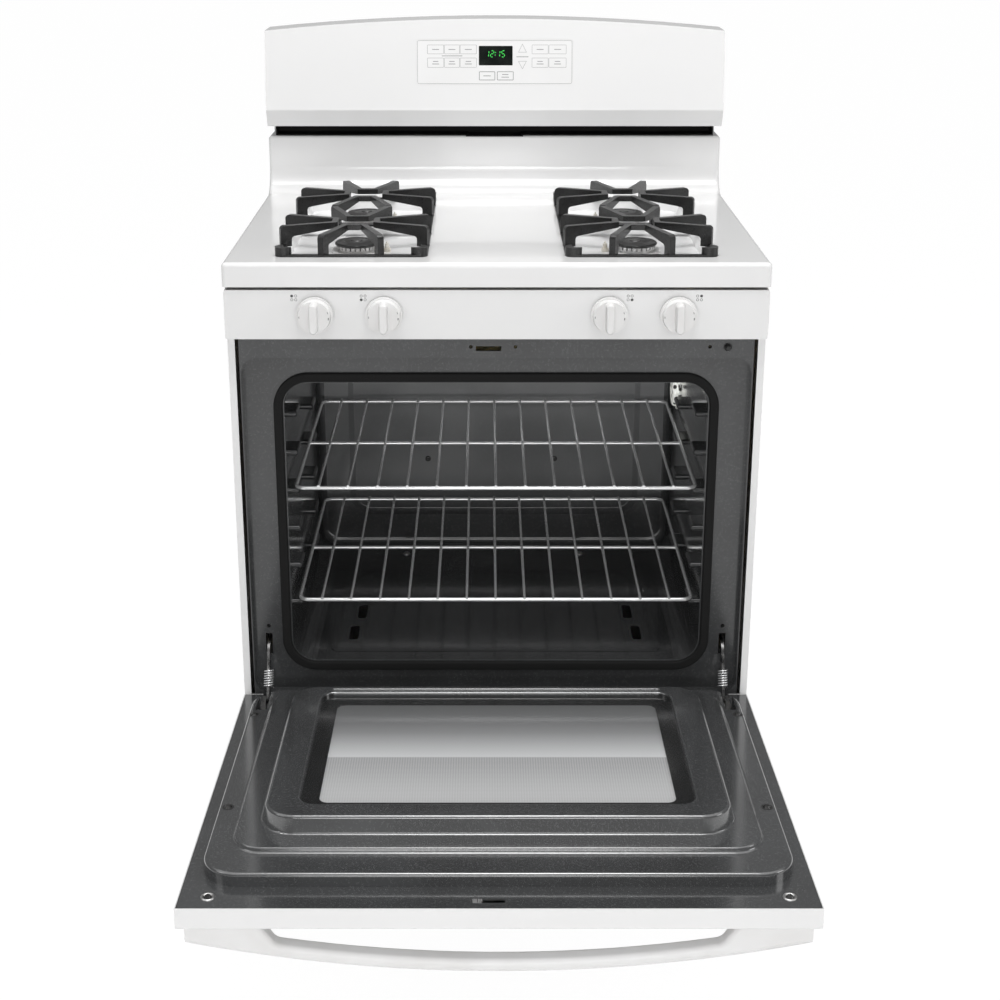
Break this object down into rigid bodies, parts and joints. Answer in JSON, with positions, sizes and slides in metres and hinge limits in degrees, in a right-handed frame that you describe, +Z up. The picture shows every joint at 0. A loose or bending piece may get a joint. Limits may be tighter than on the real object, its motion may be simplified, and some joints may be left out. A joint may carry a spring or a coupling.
{
  "type": "freestanding gas range",
  "caption": "White freestanding gas range with burners under cast grates, a raised rear console and a wide oven whose drop-down door stands open.",
  "frame": {"origin": "on the floor, midway across the width and midway between the range's back and the open door's handle edge", "axes": "+X to the range's right as seen from the front, +Y to the back, +Z up; the front faces -Y"},
  "size_m": [0.759, 1.171, 1.199],
  "materials": {
    "white_enamel": "gloss porcelain enamel",
    "white_plastic": "satin moulded",
    "dark_porcelain": "gloss enamel with fine pale specks",
    "galvanised_steel": "dull zinc",
    "plated_steel": "zinc plated",
    "glass_wool": "matt fibre",
    "gasket_braid": "matt braid",
    "overlay_film": "printed film",
    "circuit_board": "solder mask",
    "cast_aluminium": "as cast",
    "valve_brass": "machined",
    "black_plastic": "satin moulded",
    "black_cap": "matt black enamel",
    "igniter_ceramic": "glazed ceramic",
    "lamp_glass": "ribbed clear",
    "door_glass": "tinted, dotted inside",
    "rack_chrome": "bright plated wire",
    "grate_iron": "matt black enamel"
  },
  "bodies": {
    "range_body": {"backguard_console": "white_enamel", "backguard_rear_cover": "galvanised_steel", "base_frame": "galvanised_steel", "burner_bases": "cast_aluminium", "burner_caps": "black_cap", "burner_tubes": "cast_aluminium", "burner_valves": "valve_brass", "control_board": "circuit_board", "control_overlay": "overlay_film", "control_panel": "white_enamel", "cooktop": "white_enamel", "cord_inlet": "black_plastic", "door_gasket": "gasket_braid", "hinge_arms": "plated_steel", "levelling_legs": "plated_steel", "light_switch_body": "black_plastic", "manifold_pipe": "plated_steel", "oven_back_wall": "dark_porcelain", "oven_bottom_panel": "dark_porcelain", "oven_burner": "plated_steel", "oven_front_frame": "dark_porcelain", "oven_insulation": "glass_wool", "oven_light_lens": "lamp_glass", "oven_liner": "dark_porcelain", "oven_safety_valve": "cast_aluminium", "pressure_regulator": "cast_aluminium", "rack_supports": "dark_porcelain", "rear_panel": "galvanised_steel", "side_panel_left": "white_enamel", "side_panel_right": "white_enamel", "spark_igniters": "igniter_ceramic", "temperature_probe": "plated_steel", "vent_duct": "galvanised_steel"},
    "door": {"door_outer_panel": "white_enamel", "door_inner_liner": "dark_porcelain", "door_inner_glass": "door_glass", "door_outer_glass": "door_glass", "door_hinges": "plated_steel", "door_handle": "white_plastic", "door_screws": "plated_steel"},
    "drawer": {"drawer_front": "white_enamel", "drawer_box": "galvanised_steel"},
    "grate_left": {"grate_left": "grate_iron"},
    "grate_right": {"grate_right": "grate_iron"},
    "light_switch_plunger": {"light_switch_plunger": "black_plastic"},
    "rack_lower": {"rack_lower": "rack_chrome"},
    "rack_upper": {"rack_upper": "rack_chrome"},
    "valve_plug_left_rear": {"valve_plug_left_rear": "valve_brass"},
    "knob_left_rear": {"knob_left_rear": "white_plastic", "valve_stem_left_rear": "plated_steel"},
    "valve_plug_left_front": {"valve_plug_left_front": "valve_brass"},
    "knob_left_front": {"knob_left_front": "white_plastic", "valve_stem_left_front": "plated_steel"},
    "valve_plug_right_front": {"valve_plug_right_front": "valve_brass"},
    "knob_right_front": {"knob_right_front": "white_plastic", "valve_stem_right_front": "plated_steel"},
    "valve_plug_right_rear": {"valve_plug_right_rear": "valve_brass"},
    "knob_right_rear": {"knob_right_rear": "white_plastic", "valve_stem_right_rear": "plated_steel"}
  },
  "joints": [
    {"name": "door_hinge", "type": "hinge", "parent": "range_body", "child": "door", "pos_m": [0, -0.023, 0.24], "axis": [1, 0, 0], "range_deg": [-87, 0]},
    {"name": "drawer_slide", "type": "slide", "parent": "range_body", "child": "drawer", "axis": [0, -1, 0], "range_m": [0, 0.35]},
    {"name": "grate_left_lift", "type": "slide", "parent": "range_body", "child": "grate_left", "axis": [0, 0, 1], "range_m": [0, 0.1]},
    {"name": "grate_right_lift", "type": "slide", "parent": "range_body", "child": "grate_right", "axis": [0, 0, 1], "range_m": [0, 0.1]},
    {"name": "knob_left_rear_turn", "type": "hinge", "parent": "range_body", "child": "valve_plug_left_rear", "pos_m": [-0.252, 0.01, 0.841], "axis": [0, -1, 0], "range_deg": [0, 210]},
    {"name": "knob_left_rear_push", "type": "slide", "parent": "valve_plug_left_rear", "child": "knob_left_rear", "axis": [0, 1, 0], "range_m": [0, 0.0035], "stiffness_N_per_m": 800, "springref_m": -0.002},
    {"name": "knob_left_front_turn", "type": "hinge", "parent": "range_body", "child": "valve_plug_left_front", "pos_m": [-0.156, 0.01, 0.841], "axis": [0, -1, 0], "range_deg": [0, 210]},
    {"name": "knob_left_front_push", "type": "slide", "parent": "valve_plug_left_front", "child": "knob_left_front", "axis": [0, 1, 0], "range_m": [0, 0.0035], "stiffness_N_per_m": 800, "springref_m": -0.002},
    {"name": "knob_right_front_turn", "type": "hinge", "parent": "range_body", "child": "valve_plug_right_front", "pos_m": [0.156, 0.01, 0.841], "axis": [0, -1, 0], "range_deg": [0, 210]},
    {"name": "knob_right_front_push", "type": "slide", "parent": "valve_plug_right_front", "child": "knob_right_front", "axis": [0, 1, 0], "range_m": [0, 0.0035], "stiffness_N_per_m": 800, "springref_m": -0.002},
    {"name": "knob_right_rear_turn", "type": "hinge", "parent": "range_body", "child": "valve_plug_right_rear", "pos_m": [0.252, 0.01, 0.841], "axis": [0, -1, 0], "range_deg": [0, 210]},
    {"name": "knob_right_rear_push", "type": "slide", "parent": "valve_plug_right_rear", "child": "knob_right_rear", "axis": [0, 1, 0], "range_m": [0, 0.0035], "stiffness_N_per_m": 800, "springref_m": -0.002},
    {"name": "light_switch_press", "type": "slide", "parent": "range_body", "child": "light_switch_plunger", "axis": [0, 1, 0], "range_m": [0, 0.005], "stiffness_N_per_m": 300, "springref_m": -0.002},
    {"name": "rack_lower_slide", "type": "slide", "parent": "range_body", "child": "rack_lower", "axis": [0, -1, 0], "range_m": [0, 0.25]},
    {"name": "rack_upper_slide", "type": "slide", "parent": "range_body", "child": "rack_upper", "axis": [0, -1, 0], "range_m": [0, 0.25]}
  ]
}
